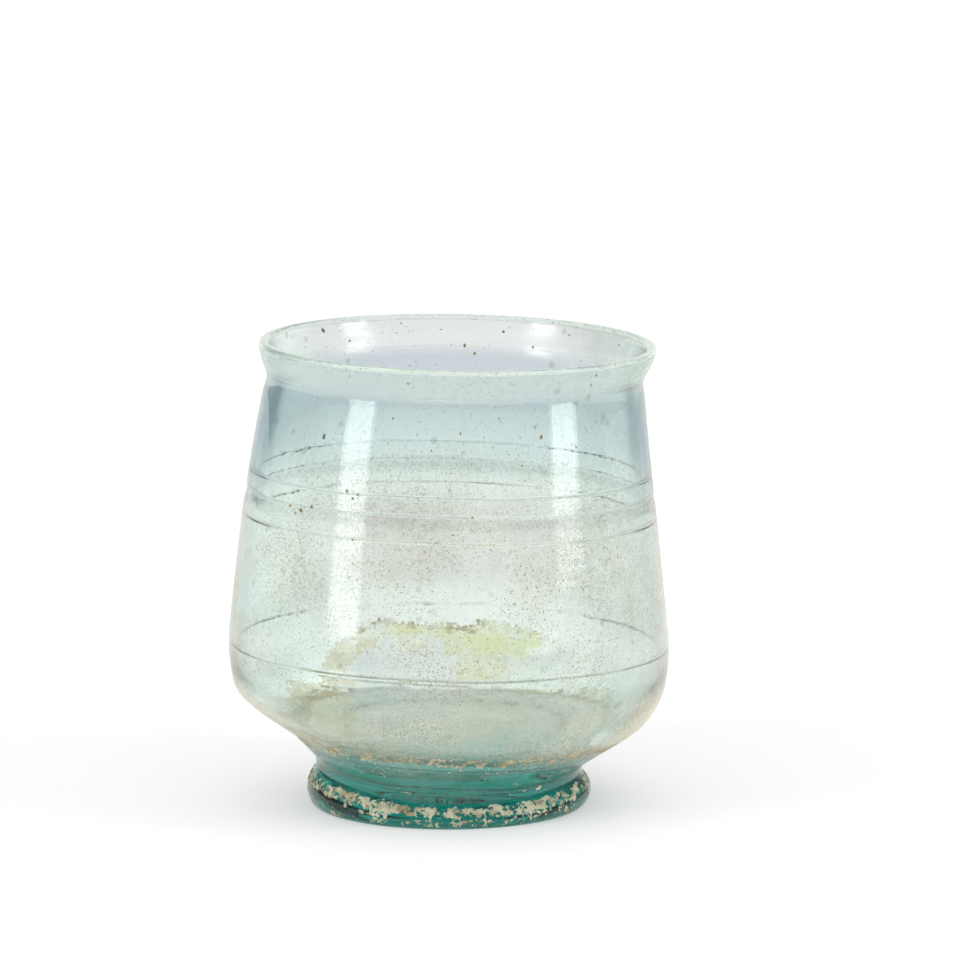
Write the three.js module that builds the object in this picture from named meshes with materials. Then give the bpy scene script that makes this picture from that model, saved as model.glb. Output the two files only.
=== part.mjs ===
// A free-blown glass beaker with an everted rim, wheel-cut lines and an applied foot ring.
// Lengths are millimetres. +Z is up, the photographed side faces -Y, and the origin is the centre
// of the resting plane. The vessel is hand made: above its level foot it leans a little to +X.
import * as THREE from 'three';

// Overall sizes
const height = 94.5;
const rimRadius = 40.3;
const neckRadius = 38.2;
const neckDrop = 7.8;
const neckHeight = height - neckDrop;
const bellyRadius = 44.8;
const bellyHeight = 33;
const waistRadius = 27;
const waistHeight = 6.9;

// Glass thickness
const wall = 1.8;
const rimThickness = 2;
const heelThickness = 5;
const floorHeight = 13.6;
const floorRadius = 25.5;
const floorCrown = 0.8;

// Underside: a core inside the foot ring, pushed up in the middle
const coreRadius = 25.2;
const coreHeight = 1.1;
const pushUpRadius = 22;
const pushUpHeight = 6.2;

// Foot ring: a coil of glass round the core
const footRadius = 29;
const footBulge = 2;
const footBulgeHeight = 3;
const footRestInset = 1.2;
const footRestWidth = 1.3;
const footChamfer = 0.5;
const weldGap = 0.12;

// Wheel cuts: thin lines, and one wide shallow band with a sharp upper edge. They are set out from
// the neck and from the widest part of the belly.
const thinCutDepth = 0.22;
const thinCutHalfWidth = 0.4;
const neckCutRise = 1.4;
const upperCutDrop = 18.2;
const lowerCutDrop = 27;
const bellyCutRise = 0.2;
const thinCutHeights = [neckHeight + neckCutRise, neckHeight - upperCutDrop,
  neckHeight - lowerCutDrop, bellyHeight + bellyCutRise];
const bandCutDrop = 21.6;
const bandCutTop = neckHeight - bandCutDrop;
const bandCutWidth = 3.4;
const bandCutDepth = 0.35;
const bandCutEdge = 0.2;

// How far the hand-made shape departs from a turned one
const leanShare = 0.022;
const rimShift = 2;
const rimShiftPower = 5;
const mouthSideShare = 0.003;
const mouthBackShare = 0.0235;
const mouthPower = 8;
const grooveDip = 2.3;
const grooveDipEnd = 14.5;
const drawnInShare = 0.1;
const drawnInHeight = 15;
const drawnInEnd = 24;

// Deposits that lie on the glass
const depositGap = 0.15;
const filmThickness = 0.3;
const filmLowHeight = 17.5;
const filmHighHeight = 31;
const filmEdgeWander = 0.6;
const filmFullTurnShare = 0.05;
const filmLowTurnShare = 0.15;
const floorCrustRadius = 23.2;
const floorCrustWidth = 2;
const floorCrustThickness = 0.5;
const footCrustBottom = 3.3;
const footCrustTop = 5.7;
const footCrustWander = 0.5;
const footCrustThickness = 0.4;

// Fineness of the faceted solids
const turnSteps = 56;
const outlineSteps = 240;
const heelSteps = 8;
const wallSteps = 7;
const lipSteps = 6;
const cavitySteps = 5;
const floorSteps = 3;
const pushUpSteps = 5;
const coilSteps = 6;
const filmSteps = 5;
const depositSteps = 3;

const glass = new THREE.MeshStandardMaterial({ color: '#bfe0dc', roughness: 0.12, metalness: 0 });
const darkGlass = new THREE.MeshStandardMaterial({ color: '#2f8f88', roughness: 0.18, metalness: 0 });
const soil = new THREE.MeshStandardMaterial({ color: '#cbbd94', roughness: 0.95, metalness: 0 });
const sediment = new THREE.MeshStandardMaterial({ color: '#ddd2b0', roughness: 0.9, metalness: 0 });
const film = new THREE.MeshStandardMaterial({ color: '#d6dcc4', roughness: 0.55, metalness: 0 });

const { lerp } = THREE.MathUtils;

// Rises from 0 to 1 between two values, level at both ends.
const ease = (from, to, value) => {
  const t = THREE.MathUtils.clamp((value - from) / (to - from), 0, 1);
  return t * t * (3 - 2 * t);
};

const steps = (count, from, to) =>
  Array.from({ length: count + 1 }, (_, i) => lerp(from, to, i / count));

// Outer wall. Each pair is a share of the way out and a share of the way up, from waist to belly,
// from belly to neck and from neck to lip.
const heelShares = [[0, 0], [0.035, 0.077], [0.13, 0.135], [0.44, 0.27], [0.742, 0.423],
  [0.92, 0.615], [0.985, 0.8], [1, 1]];
const shoulderShares = [[0.06, 0.1], [0.37, 0.45], [0.57, 0.64], [0.88, 0.92], [1, 1]];
const flareShares = [[0.14, 0.26], [0.63, 0.6], [1, 1]];

const rimRound = rimThickness / 2;
const lipHeight = height - rimRound;
const wallOutline = new THREE.SplineCurve([
  ...heelShares.map(([out, up]) => new THREE.Vector2(
    lerp(waistRadius, bellyRadius, out), lerp(waistHeight, bellyHeight, up))),
  ...shoulderShares.map(([out, up]) => new THREE.Vector2(
    lerp(bellyRadius, neckRadius, out), lerp(bellyHeight, neckHeight, up))),
  ...flareShares.map(([out, up]) => new THREE.Vector2(
    lerp(neckRadius, rimRadius, out), lerp(neckHeight, lipHeight, up))),
]);
const wallPoints = wallOutline.getPoints(outlineSteps);

// The glass before it was cut
const blownRadius = (z) => {
  const above = wallPoints.findIndex((point) => point.y > z);
  if (above < 0) {
    return rimRadius;
  }
  const from = wallPoints[Math.max(above - 1, 0)];
  const to = wallPoints[above];
  return lerp(from.x, to.x, (z - from.y) / (to.y - from.y || 1));
};

const cutDepth = (z) => {
  const thin = Math.max(0, ...thinCutHeights.map((cut) => 1 - Math.abs(z - cut) / thinCutHalfWidth));
  const below = bandCutTop - z;
  const inBand = below > 0 && below < bandCutWidth;
  const band = inBand ? Math.min(below / bandCutEdge, 1 - below / bandCutWidth) : 0;
  return Math.max(thin * thinCutDepth, band * bandCutDepth);
};

// Inside of the wall: thicker at the rim, and thick towards the heel
const cavityRadius = (z) => {
  const down = THREE.MathUtils.clamp((bellyHeight - z) / (bellyHeight - floorHeight), 0, 1);
  const thickness = wall + (rimThickness - wall) * ease(neckHeight, lipHeight, z)
    + (heelThickness - wall) * down ** 2;
  return blownRadius(z) - thickness;
};

const floorSurface = (r) => floorHeight + floorCrown * (1 - (r / floorRadius) ** 2);

// Outer face of the foot ring's coil
const coilTop = waistHeight - weldGap;
const coilRadius = (z) =>
  footRadius - footBulge * ((z - footBulgeHeight) / (coilTop - footBulgeHeight)) ** 2;

// Hand-made departures: the heel is drawn in on the -X side, the body tilts to +X, the groove above
// the foot ring dips in front, and the mouth sits off the axis of the foot and tips to the front.
const place = (x, y, z) => {
  const away = (1 - x / (Math.hypot(x, y) || 1)) / 2;
  const low = ease(waistHeight, drawnInHeight, z) * (1 - ease(drawnInHeight, drawnInEnd, z));
  const pull = 1 - drawnInShare * away * low;
  const tilt = leanShare * ease(0, waistHeight, z) * x * pull;
  const front = THREE.MathUtils.clamp(-y / waistRadius, 0, 1) ** 2;
  const atGroove = ease(0, waistHeight, z) * (1 - ease(waistHeight, grooveDipEnd, z));
  const mouth = (mouthSideShare * x + mouthBackShare * y) * (z / height) ** mouthPower;
  const shift = rimShift * (z / height) ** rimShiftPower;
  return [x * pull + shift, y * pull, z - tilt - grooveDip * front * atGroove + mouth];
};

// Turns an outline of [radius, height] pairs round the axis. An optional function moves each
// corner first: it takes the pair and the angle, with +X at 0 and +Y at a quarter turn.
const turn = (name, outline, material, move = (r, z) => [r, z]) => {
  const points = outline.map(([r, z]) => new THREE.Vector2(r, z));
  const geometry = new THREE.LatheGeometry(points, turnSteps);
  const position = geometry.attributes.position;
  for (let i = 0; i < position.count; i += 1) {
    const angle = 2 * Math.PI * Math.floor(i / points.length) / turnSteps;
    const point = points[i % points.length];
    const [r, z] = move(point.x, point.y, angle);
    position.setXYZ(i, ...place(r * Math.cos(angle), r * Math.sin(angle), z));
  }
  geometry.deleteAttribute('normal');
  geometry.deleteAttribute('uv');
  geometry.computeVertexNormals();
  const mesh = new THREE.Mesh(geometry, material);
  mesh.name = name;
  return mesh;
};

const vesselBody = () => {
  const cutEdges = thinCutHeights.flatMap((cut) => [cut - thinCutHalfWidth, cut, cut + thinCutHalfWidth]);
  const bandEdges = [bandCutTop - bandCutWidth, bandCutTop - bandCutEdge, bandCutTop];
  const edges = [...cutEdges, ...bandEdges];
  const clear = (z) => edges.every((edge) => Math.abs(edge - z) > thinCutHalfWidth);
  const levels = [
    ...steps(heelSteps, waistHeight, bellyHeight),
    ...steps(wallSteps, bellyHeight, neckHeight).slice(1),
    ...steps(lipSteps, neckHeight, lipHeight).slice(1),
  ].filter(clear);
  const outside = [...levels, ...edges].sort((a, b) => a - b)
    .map((z) => [blownRadius(z) - cutDepth(z), z]);
  const rimCentre = rimRadius - rimRound;
  const rim = steps(lipSteps, 0, Math.PI).slice(1)
    .map((a) => [rimCentre + rimRound * Math.cos(a), lipHeight + rimRound * Math.sin(a)]);
  const inside = [
    ...steps(lipSteps, lipHeight, neckHeight).slice(1),
    ...steps(cavitySteps, neckHeight, bellyHeight).slice(1),
    ...steps(heelSteps, bellyHeight, floorHeight + floorCrown / 2).slice(1),
  ].map((z) => [cavityRadius(z), z]);
  const floor = steps(floorSteps, floorRadius, 0).map((r) => [r, floorSurface(r)]);
  const dome = (r) => lerp(pushUpHeight, coreHeight, ease(0, pushUpRadius, r));
  const underside = steps(pushUpSteps, 0, pushUpRadius).map((r) => [r, dome(r)]);
  const core = [[coreRadius, coreHeight], [coreRadius, waistHeight]];
  return turn('vessel_body', [...underside, ...core, ...outside, ...rim, ...inside, ...floor], glass);
};

const footRing = () => {
  const bore = coreRadius + weldGap;
  const rest = [[bore + footRestInset, 0], [bore + footRestInset + footRestWidth, 0]];
  const face = steps(coilSteps, footChamfer, coilTop).map((z) => [coilRadius(z), z]);
  const outline = [[bore, coreHeight], ...rest, ...face, [bore, coilTop], [bore, coreHeight]];
  return turn('foot_ring', outline, darkGlass);
};

// A patch of deposit is turned from a unit outline: across it, and through its thickness.
const across = steps(depositSteps, 0, 1);
const bandOutline = [
  ...across.map((u) => [1 + u, 0]),
  ...across.map((u) => [2 - u, 1]),
  [1, 0],
];

// Wavering between -1 and 1 round the turn, different for each seed
const waver = (angle, seed) => {
  const slow = Math.sin(3 * angle + seed);
  const middling = Math.sin(7 * angle + 2.3 * seed);
  const quick = Math.sin(13 * angle + 4.1 * seed);
  return (slow + middling + quick) / 3;
};

// Thin at both edges of a patch, and thickest in its middle
const edgeShare = 0.15;
const swell = (u) => Math.sin(Math.PI * lerp(edgeShare, 1 - edgeShare, u));

const footCrust = () => turn('foot_crust', bandOutline.map(([u, v]) => [u, 1 - v]), soil,
  (u, v, angle) => {
    const bottom = footCrustBottom + footCrustWander * waver(angle, 1);
    const top = footCrustTop + footCrustWander * waver(angle, 2);
    const z = lerp(bottom, top, u - 1);
    const thickness = footCrustThickness * swell(u - 1) * (1 + waver(angle, 3) / 3);
    return [coilRadius(z) + depositGap + v * thickness, z];
  });

// The film covers the floor and climbs the wall, highest at the back. A point on it is a share of
// the way from the centre of the floor to its upper edge.
const floorShare = 0.45;
const cavityPoint = (share, edgeHeight) => {
  if (share <= floorShare) {
    const r = floorRadius * share / floorShare;
    return [r, floorSurface(r)];
  }
  const z = lerp(floorHeight + floorCrown / 2, edgeHeight, (share - floorShare) / (1 - floorShare));
  return [cavityRadius(z), z];
};

const floorFilm = () => {
  const shares = [...steps(floorSteps, 0, floorShare), ...steps(filmSteps, floorShare, 1).slice(1)];
  const outline = [...shares.map((s) => [s, 0]), ...shares.toReversed().map((s) => [s, 1])];
  return turn('floor_film', outline, film, (share, layer, angle) => {
    const fromBackShare = Math.abs(Math.PI / 2 - angle) / (2 * Math.PI);
    const climb = 1 - ease(filmFullTurnShare, filmLowTurnShare, fromBackShare);
    const edge = lerp(filmLowHeight, filmHighHeight, climb) + filmEdgeWander * waver(angle, 4);
    const [r, z] = cavityPoint(share, edge);
    const inset = depositGap + layer * filmThickness;
    return [share > 0 ? r - inset : 0, z + inset];
  });
};

const floorCrust = () => turn('floor_crust', bandOutline, sediment,
  (u, v, angle) => {
    const width = floorCrustWidth * (1 + waver(angle, 5) / 2);
    const r = floorCrustRadius + width * (u - 1.5);
    const bed = floorSurface(r) + 2 * depositGap + filmThickness;
    return [r, bed + v * floorCrustThickness * swell(u - 1) * (1 + waver(angle, 6) / 3)];
  });

const beaker = new THREE.Group();
beaker.name = 'glass_beaker';
beaker.add(vesselBody(), footRing(), footCrust(), floorFilm(), floorCrust());

export default beaker;
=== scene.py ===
# A free-blown blue-green glass beaker with wheel-cut lines, a coiled foot ring and burial weathering.
# Outlines are worked out in millimetres and made into meshes in metres. The photographed side is -Y.
import math

import bpy
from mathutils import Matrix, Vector


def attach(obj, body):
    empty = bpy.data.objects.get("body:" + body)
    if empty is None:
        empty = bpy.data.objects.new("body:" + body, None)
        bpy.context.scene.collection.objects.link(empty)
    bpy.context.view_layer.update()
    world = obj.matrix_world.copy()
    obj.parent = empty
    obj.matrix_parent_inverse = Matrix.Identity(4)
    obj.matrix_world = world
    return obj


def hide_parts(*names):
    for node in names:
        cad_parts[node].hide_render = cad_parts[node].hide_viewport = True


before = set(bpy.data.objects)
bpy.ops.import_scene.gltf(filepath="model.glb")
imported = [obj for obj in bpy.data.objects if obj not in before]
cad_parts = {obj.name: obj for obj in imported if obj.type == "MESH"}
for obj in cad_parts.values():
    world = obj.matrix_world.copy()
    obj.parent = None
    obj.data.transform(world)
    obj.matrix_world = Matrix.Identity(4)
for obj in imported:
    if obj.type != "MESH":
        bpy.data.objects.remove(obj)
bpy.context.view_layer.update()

MM = 0.001

# Body, as in the CAD source
HEIGHT = 94.5
RIM_RADIUS = 40.3
NECK_RADIUS = 38.2
NECK_HEIGHT = 86.7
BELLY_RADIUS = 44.8
BELLY_HEIGHT = 33
WAIST_RADIUS = 27
WAIST_HEIGHT = 6.9
WALL = 1.8
RIM_THICKNESS = 2
HEEL_THICKNESS = 5
FLOOR_HEIGHT = 13.6
FLOOR_RADIUS = 25.5
FLOOR_CROWN = 0.8
CORE_RADIUS = 25.2
CORE_HEIGHT = 1.1
PUSH_UP_RADIUS = 22
PUSH_UP_HEIGHT = 6.2
HEEL_SHARES = ((0, 0), (0.035, 0.077), (0.13, 0.135), (0.44, 0.27), (0.742, 0.423), (0.92, 0.615),
               (0.985, 0.8), (1, 1))
SHOULDER_SHARES = ((0.06, 0.1), (0.37, 0.45), (0.57, 0.64), (0.88, 0.92), (1, 1))
FLARE_SHARES = ((0.14, 0.26), (0.63, 0.6), (1, 1))
WALL_POINT_COUNT = 300

# Foot ring, as in the CAD source, but welded to the body with next to no gap
FOOT_RADIUS = 29
FOOT_BULGE = 2
FOOT_BULGE_HEIGHT = 3
FOOT_REST_INSET = 1.2
FOOT_REST_WIDTH = 1.3
FOOT_CHAMFER = 0.5
WELD_GAP = 0.03
WELD_RADIUS = WAIST_RADIUS - 0.05
CORE_EDGE = 0.02

# Hand-made departures, as in the CAD source
LEAN_SHARE = 0.022
RIM_SHIFT = 2
RIM_SHIFT_POWER = 5
MOUTH_SIDE_SHARE = 0.003
MOUTH_BACK_SHARE = 0.0235
MOUTH_POWER = 8
GROOVE_DIP = 2.3
GROOVE_DIP_END = 14.5
DRAWN_IN_SHARE = 0.1
DRAWN_IN_HEIGHT = 15
DRAWN_IN_END = 24

# Wheel cuts, softer than in the CAD source. The second line shows only on one side of the front.
LINE_HEIGHTS = (88.1, 68.5, 59.7, 33.2)
LINE_HALF_WIDTH = 0.3
LINE_DEPTHS = (0.05, 0.18, 0.18, 0.2)
SECOND_LINE_DEPTH = 0.12
SECOND_LINE_HEIGHT = 32.5
SECOND_LINE_SIDE = (-0.28, -0.96, 0)
BAND_TOP = 65.1
BAND_WIDTH = 3.4
BAND_DEPTH = 0.35
BAND_EDGE = 0.5


def ease(low, high, value):
    t = min(max((value - low) / (high - low), 0), 1)
    return t * t * (3 - 2 * t)


def lerp(start, end, share):
    return start + (end - start) * share


def steps(count, start, end):
    return [lerp(start, end, i / count) for i in range(count + 1)]


def catmull(before, start, end, after, t):
    """One coordinate of a smooth curve through evenly weighted points."""
    leave = (end - before) / 2
    arrive = (after - start) / 2
    cubic = (2 * start - 2 * end + leave + arrive) * t ** 3
    square = (-3 * start + 3 * end - 2 * leave - arrive) * t ** 2
    return cubic + square + leave * t + start


def smooth_points(points, count):
    last = len(points) - 1
    made = []
    for place in steps(count, 0, last):
        i = min(int(place), last - 1)
        near = [points[max(i - 1, 0)], points[i], points[i + 1], points[min(i + 2, last)]]
        made.append(tuple(catmull(*(p[axis] for p in near), place - i) for axis in (0, 1)))
    return made


def stretch(start, end, shares):
    """Heights and radii of one stretch of the wall, from shares of its way out and of its way up."""
    return [(lerp(start[0], end[0], up), lerp(start[1], end[1], out)) for out, up in shares]


def read_off(stops, z):
    """The value at a height, between stops that each hold a height and a value."""
    for (low, start), (high, end) in zip(stops, stops[1:]):
        if z <= high:
            return lerp(start, end, max(z - low, 0) / (high - low or 1))
    return stops[-1][1]


LIP_ROUND = RIM_THICKNESS / 2
LIP_HEIGHT = HEIGHT - LIP_ROUND
WAIST = (WAIST_HEIGHT, WAIST_RADIUS)
BELLY = (BELLY_HEIGHT, BELLY_RADIUS)
NECK = (NECK_HEIGHT, NECK_RADIUS)
LIP = (LIP_HEIGHT, RIM_RADIUS)
WALL_STOPS = smooth_points(
    stretch(WAIST, BELLY, HEEL_SHARES) + stretch(BELLY, NECK, SHOULDER_SHARES)
    + stretch(NECK, LIP, FLARE_SHARES), WALL_POINT_COUNT)


def blown_radius(z):
    """Outer radius before the wheel cuts."""
    return read_off(WALL_STOPS, z)


def cavity_radius(z):
    down = min(max((BELLY_HEIGHT - z) / (BELLY_HEIGHT - FLOOR_HEIGHT), 0), 1)
    lip = (RIM_THICKNESS - WALL) * ease(NECK_HEIGHT, LIP_HEIGHT, z)
    return blown_radius(z) - WALL - lip - (HEEL_THICKNESS - WALL) * down ** 2


def floor_surface(r):
    return FLOOR_HEIGHT + FLOOR_CROWN * (1 - (r / FLOOR_RADIUS) ** 2)


def dome(r):
    return lerp(PUSH_UP_HEIGHT, CORE_HEIGHT, ease(0, PUSH_UP_RADIUS, r))


COIL_TOP = WAIST_HEIGHT - WELD_GAP


def coil_radius(z):
    return FOOT_RADIUS - FOOT_BULGE * ((z - FOOT_BULGE_HEIGHT) / (COIL_TOP - FOOT_BULGE_HEIGHT)) ** 2


def cut_share(z, line):
    """One in the middle of a thin line, and nothing or less outside it."""
    return 1 - abs(z - line) / LINE_HALF_WIDTH


def line_depth(z):
    """Depth of the thin lines and of the wide band, in millimetres."""
    thin = max(0, *(depth * cut_share(z, line) for line, depth in zip(LINE_HEIGHTS, LINE_DEPTHS)))
    below = BAND_TOP - z
    band = max(0, min(below / BAND_EDGE, 1 - below / BAND_WIDTH)) if 0 < below < BAND_WIDTH else 0
    return max(thin, band * BAND_DEPTH)


def second_line_depth(z):
    return SECOND_LINE_DEPTH * max(0, cut_share(z, SECOND_LINE_HEIGHT))


# Node trees: short names for laying out and linking nodes
def named(sockets, name):
    if isinstance(name, int):
        return sockets[name]
    return next(socket for socket in sockets if socket.name == name and socket.enabled)


def feed(tree, socket, value):
    if isinstance(value, bpy.types.NodeSocket):
        tree.links.new(value, socket)
    else:
        socket.default_value = value


def add(tree, kind, values=None, **settings):
    """The outputs of a new node that is set and fed."""
    made = tree.nodes.new(kind)
    for name, setting in settings.items():
        setattr(made, name, setting)
    for name, value in (values or {}).items():
        feed(tree, named(made.inputs, name), value)
    return made.outputs


def calc(tree, operation, *values):
    return add(tree, "ShaderNodeMath", dict(enumerate(values)), operation=operation)[0]


def times(tree, value, *others):
    for other in others:
        value = calc(tree, "MULTIPLY", value, other)
    return value


def plus(tree, value, *others):
    for other in others:
        value = calc(tree, "ADD", value, other)
    return value


def weighted(tree, start, *shares):
    """A start, and added to it each value times its weight."""
    for value, weight in shares:
        start = plus(tree, start, times(tree, value, weight))
    return start


def rest_of(tree, share):
    return calc(tree, "SUBTRACT", 1, share)


def between(tree, value, low, high, start=0, end=1, kind="SMOOTHSTEP"):
    return add(tree, "ShaderNodeMapRange", {"Value": value, "From Min": low, "From Max": high,
                                            "To Min": start, "To Max": end}, interpolation_type=kind)[0]


def falling(tree, value, low, high, end=0):
    return between(tree, value, low, high, 1, end)


def hump(tree, value, rise, fall, start=0, top=1):
    """Rises from start to top over one range of a value, and falls to nothing over a higher one."""
    return times(tree, between(tree, value, *rise, start, top), falling(tree, value, *fall))


def vector_calc(tree, operation, *values):
    made = add(tree, "ShaderNodeVectorMath", dict(enumerate(values)), operation=operation)
    return made["Value" if operation in ("LENGTH", "DOT_PRODUCT") else "Vector"]


def scaled(tree, vector, share):
    return add(tree, "ShaderNodeVectorMath", {0: vector, "Scale": share}, operation="SCALE")[0]


def parts(tree, vector):
    return add(tree, "ShaderNodeSeparateXYZ", {0: vector})


def xyz(tree, x=0, y=0, z=0):
    return add(tree, "ShaderNodeCombineXYZ", {"X": x, "Y": y, "Z": z})[0]


def noise(tree, point, scale, detail, seed=None, roughness=0.5):
    """The outputs of a noise: a value and a colour. A seed makes it one of many."""
    values = {"Vector": point, "Scale": scale, "Detail": detail, "Roughness": roughness}
    if seed is None:
        return add(tree, "ShaderNodeTexNoise", values)
    return add(tree, "ShaderNodeTexNoise", {**values, "W": seed}, noise_dimensions="4D")


# Geometry trees
OWN_VALUES = ("cut", "second_cut", "cover", "inside", "welded")
LEVEL = (1, 1, 0)
BACKWARD = (0, 1, 0)


def own(tree, name):
    """A named attribute in a geometry tree."""
    return add(tree, "GeometryNodeInputNamedAttribute", {"Name": name}, data_type="FLOAT")["Attribute"]


def own_position(tree):
    return add(tree, "GeometryNodeInputPosition")[0]


def store(tree, geometry, name, value):
    return add(tree, "GeometryNodeStoreNamedAttribute", {"Geometry": geometry, "Name": name, "Value": value},
               data_type="FLOAT", domain="POINT")["Geometry"]


def placed(tree, geometry, **values):
    return add(tree, "GeometryNodeSetPosition", {"Geometry": geometry, **values})[0]


def merged(tree, geometry, distance):
    return add(tree, "GeometryNodeMergeByDistance", {"Geometry": geometry, "Distance": distance})[0]


def geometry_tree(name, floats, ints=()):
    """A geometry node tree with the named inputs and a material, and its input and output nodes."""
    tree = bpy.data.node_groups.new(name, "GeometryNodeTree")
    tree.interface.new_socket("Geometry", in_out="INPUT", socket_type="NodeSocketGeometry")
    tree.interface.new_socket("Geometry", in_out="OUTPUT", socket_type="NodeSocketGeometry")
    for kind, labels in (("Int", ints), ("Float", floats), ("Material", ("Material",))):
        for label in labels:
            tree.interface.new_socket(label, in_out="INPUT", socket_type="NodeSocket" + kind)
    return tree, tree.nodes.new("NodeGroupInput").outputs, tree.nodes.new("NodeGroupOutput").inputs


def closed(tree, geometry, given, result):
    """Smooth faces, real geometry and a material end every tree."""
    smooth = add(tree, "GeometryNodeSetShadeSmooth", {0: geometry})[0]
    real = add(tree, "GeometryNodeRealizeInstances", {0: smooth})[0]
    done = add(tree, "GeometryNodeSetMaterial", {"Geometry": real, "Material": given["Material"]})[0]
    tree.links.new(done, result[0])
    return tree


def turned(tree, outline, turns):
    """The outline's points turned round Z, as a grid whose rows are the outline. It carries the outline's
    own values: cut depths and masks."""
    rows = add(tree, "GeometryNodeAttributeDomainSize", {0: outline}, component="MESH")["Point Count"]
    grid = add(tree, "GeometryNodeMeshGrid", {"Vertices X": plus(tree, turns, 1), "Vertices Y": rows})
    index = add(tree, "GeometryNodeInputIndex")[0]
    column = calc(tree, "FLOOR", calc(tree, "DIVIDE", index, rows))
    at = calc(tree, "MODULO", index, rows)
    angle = times(tree, calc(tree, "DIVIDE", column, turns), 2 * math.pi)

    def at_row(value, kind):
        return add(tree, "GeometryNodeSampleIndex", {"Geometry": outline, "Value": value, "Index": at},
                   data_type=kind)[0]

    place = parts(tree, at_row(own_position(tree), "FLOAT_VECTOR"))
    geometry = grid["Mesh"]
    for name in OWN_VALUES:
        geometry = store(tree, geometry, name, at_row(own(tree, name), "FLOAT"))
    geometry = store(tree, geometry, "height", place["Z"])
    spot = xyz(tree, times(tree, place["X"], calc(tree, "COSINE", angle)),
               times(tree, place["X"], calc(tree, "SINE", angle)), place["Z"])
    return merged(tree, placed(tree, geometry, Position=spot), 1e-6)


def hand_made(tree, geometry, waver):
    """Wheel cuts of uneven depth, a slight waver of the wall, and the lean and pull of the CAD body."""
    height = own(tree, "height")
    position = own_position(tree)
    x, y, z = parts(tree, position)
    outward = vector_calc(tree, "NORMALIZE", xyz(tree, x, y))
    front_left = vector_calc(tree, "DOT_PRODUCT", outward, SECOND_LINE_SIDE)
    second = times(tree, own(tree, "second_cut"), between(tree, front_left, 0.93, 0.97))
    uneven = noise(tree, position, 90, 2)[0]
    depth = times(tree, calc(tree, "MAXIMUM", own(tree, "cut"), second),
                  between(tree, uneven, 0.3, 0.7, 0.5, 1.3, "LINEAR"))
    wave = parts(tree, noise(tree, position, 28, 1)["Color"])
    above_foot = between(tree, height, WAIST_HEIGHT * MM, 20 * MM)
    below_rim = falling(tree, height, 88 * MM, 95 * MM)
    inward = plus(tree, depth, times(tree, wave[0], waver, above_foot))
    rise = times(tree, calc(tree, "SUBTRACT", wave[1], 0.5), times(tree, 2.5, waver))
    rise = times(tree, rise, times(tree, above_foot, below_rim))
    offset = vector_calc(tree, "ADD", scaled(tree, outward, times(tree, inward, -1)), xyz(tree, z=rise))
    geometry = placed(tree, geometry, Offset=offset)
    away = calc(tree, "DIVIDE", rest_of(tree, parts(tree, outward)[0]), 2)
    low = hump(tree, z, (WAIST_HEIGHT * MM, DRAWN_IN_HEIGHT * MM), (DRAWN_IN_HEIGHT * MM, DRAWN_IN_END * MM))
    pull = rest_of(tree, times(tree, away, low, DRAWN_IN_SHARE))
    tilt = times(tree, x, pull, between(tree, z, 0, WAIST_HEIGHT * MM, 0, LEAN_SHARE))
    front = between(tree, y, 0, -WAIST_RADIUS * MM, kind="LINEAR")
    at_groove = hump(tree, z, (0, WAIST_HEIGHT * MM), (WAIST_HEIGHT * MM, GROOVE_DIP_END * MM))
    dip = times(tree, calc(tree, "POWER", front, 2), at_groove, GROOVE_DIP * MM)
    share = calc(tree, "DIVIDE", z, HEIGHT * MM)
    tipped = plus(tree, times(tree, x, MOUTH_SIDE_SHARE), times(tree, y, MOUTH_BACK_SHARE))
    mouth = times(tree, tipped, calc(tree, "POWER", share, MOUTH_POWER))
    shift = times(tree, calc(tree, "POWER", share, RIM_SHIFT_POWER), RIM_SHIFT * MM)
    across = plus(tree, times(tree, x, pull), shift)
    up = plus(tree, calc(tree, "SUBTRACT", calc(tree, "SUBTRACT", z, tilt), dip), mouth)
    return placed(tree, geometry, Position=xyz(tree, across, times(tree, y, pull), up))


def turned_glass_tree():
    tree, given, result = geometry_tree("turned_glass", ("Waver",), ("Turns",))
    geometry = hand_made(tree, turned(tree, given["Geometry"], given["Turns"]), given["Waver"])
    return closed(tree, geometry, given, result)


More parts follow.
